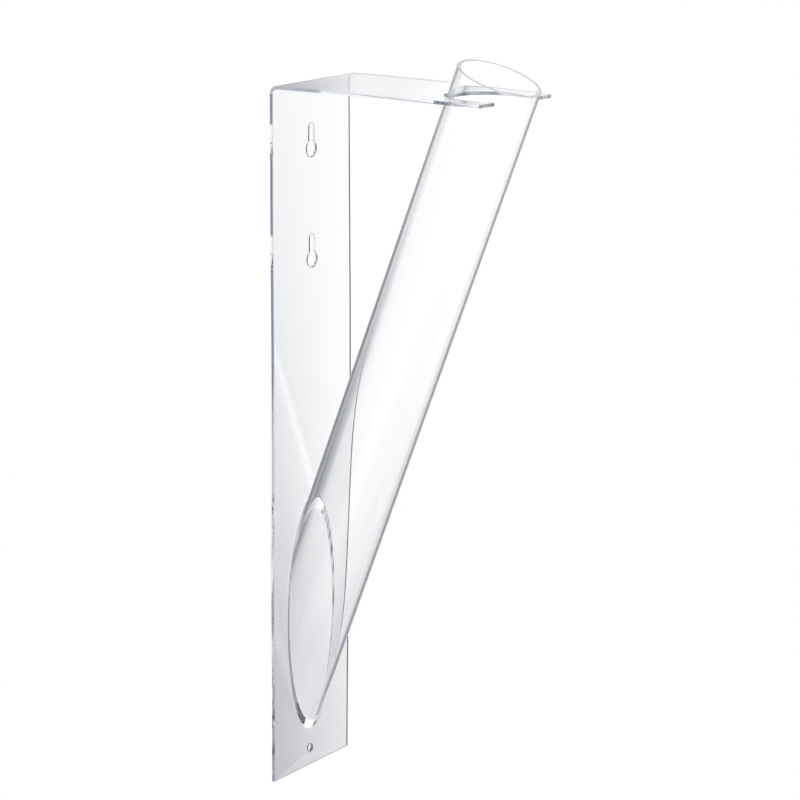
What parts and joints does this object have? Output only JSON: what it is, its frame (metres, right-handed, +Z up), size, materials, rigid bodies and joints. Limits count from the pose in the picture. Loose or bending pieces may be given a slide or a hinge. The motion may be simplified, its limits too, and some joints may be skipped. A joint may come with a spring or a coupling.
{
  "type": "wall-hung flower tube",
  "caption": "Clear acrylic flower tube leaning out from a wall plate: its slanted foot is cemented to the plate, its rim stands in a notched shelf, and the plate hangs on keyholes.",
  "frame": {"origin": "centre of the back plate's back face, which lies against the wall", "axes": "+Z up the wall, +Y into the wall (out of the plate's back face), +X to the right seen from the front; the tube leans towards -Y"},
  "size_m": [0.1016, 0.1938, 0.5568],
  "materials": {
    "clear_sheet": "polished",
    "clear_tube": "polished",
    "clear_cement": "gloss"
  },
  "bodies": {
    "root": {"wall_bracket": "clear_sheet", "water_tube": "clear_tube", "foot_weld": "clear_cement"}
  },
  "joints": []
}
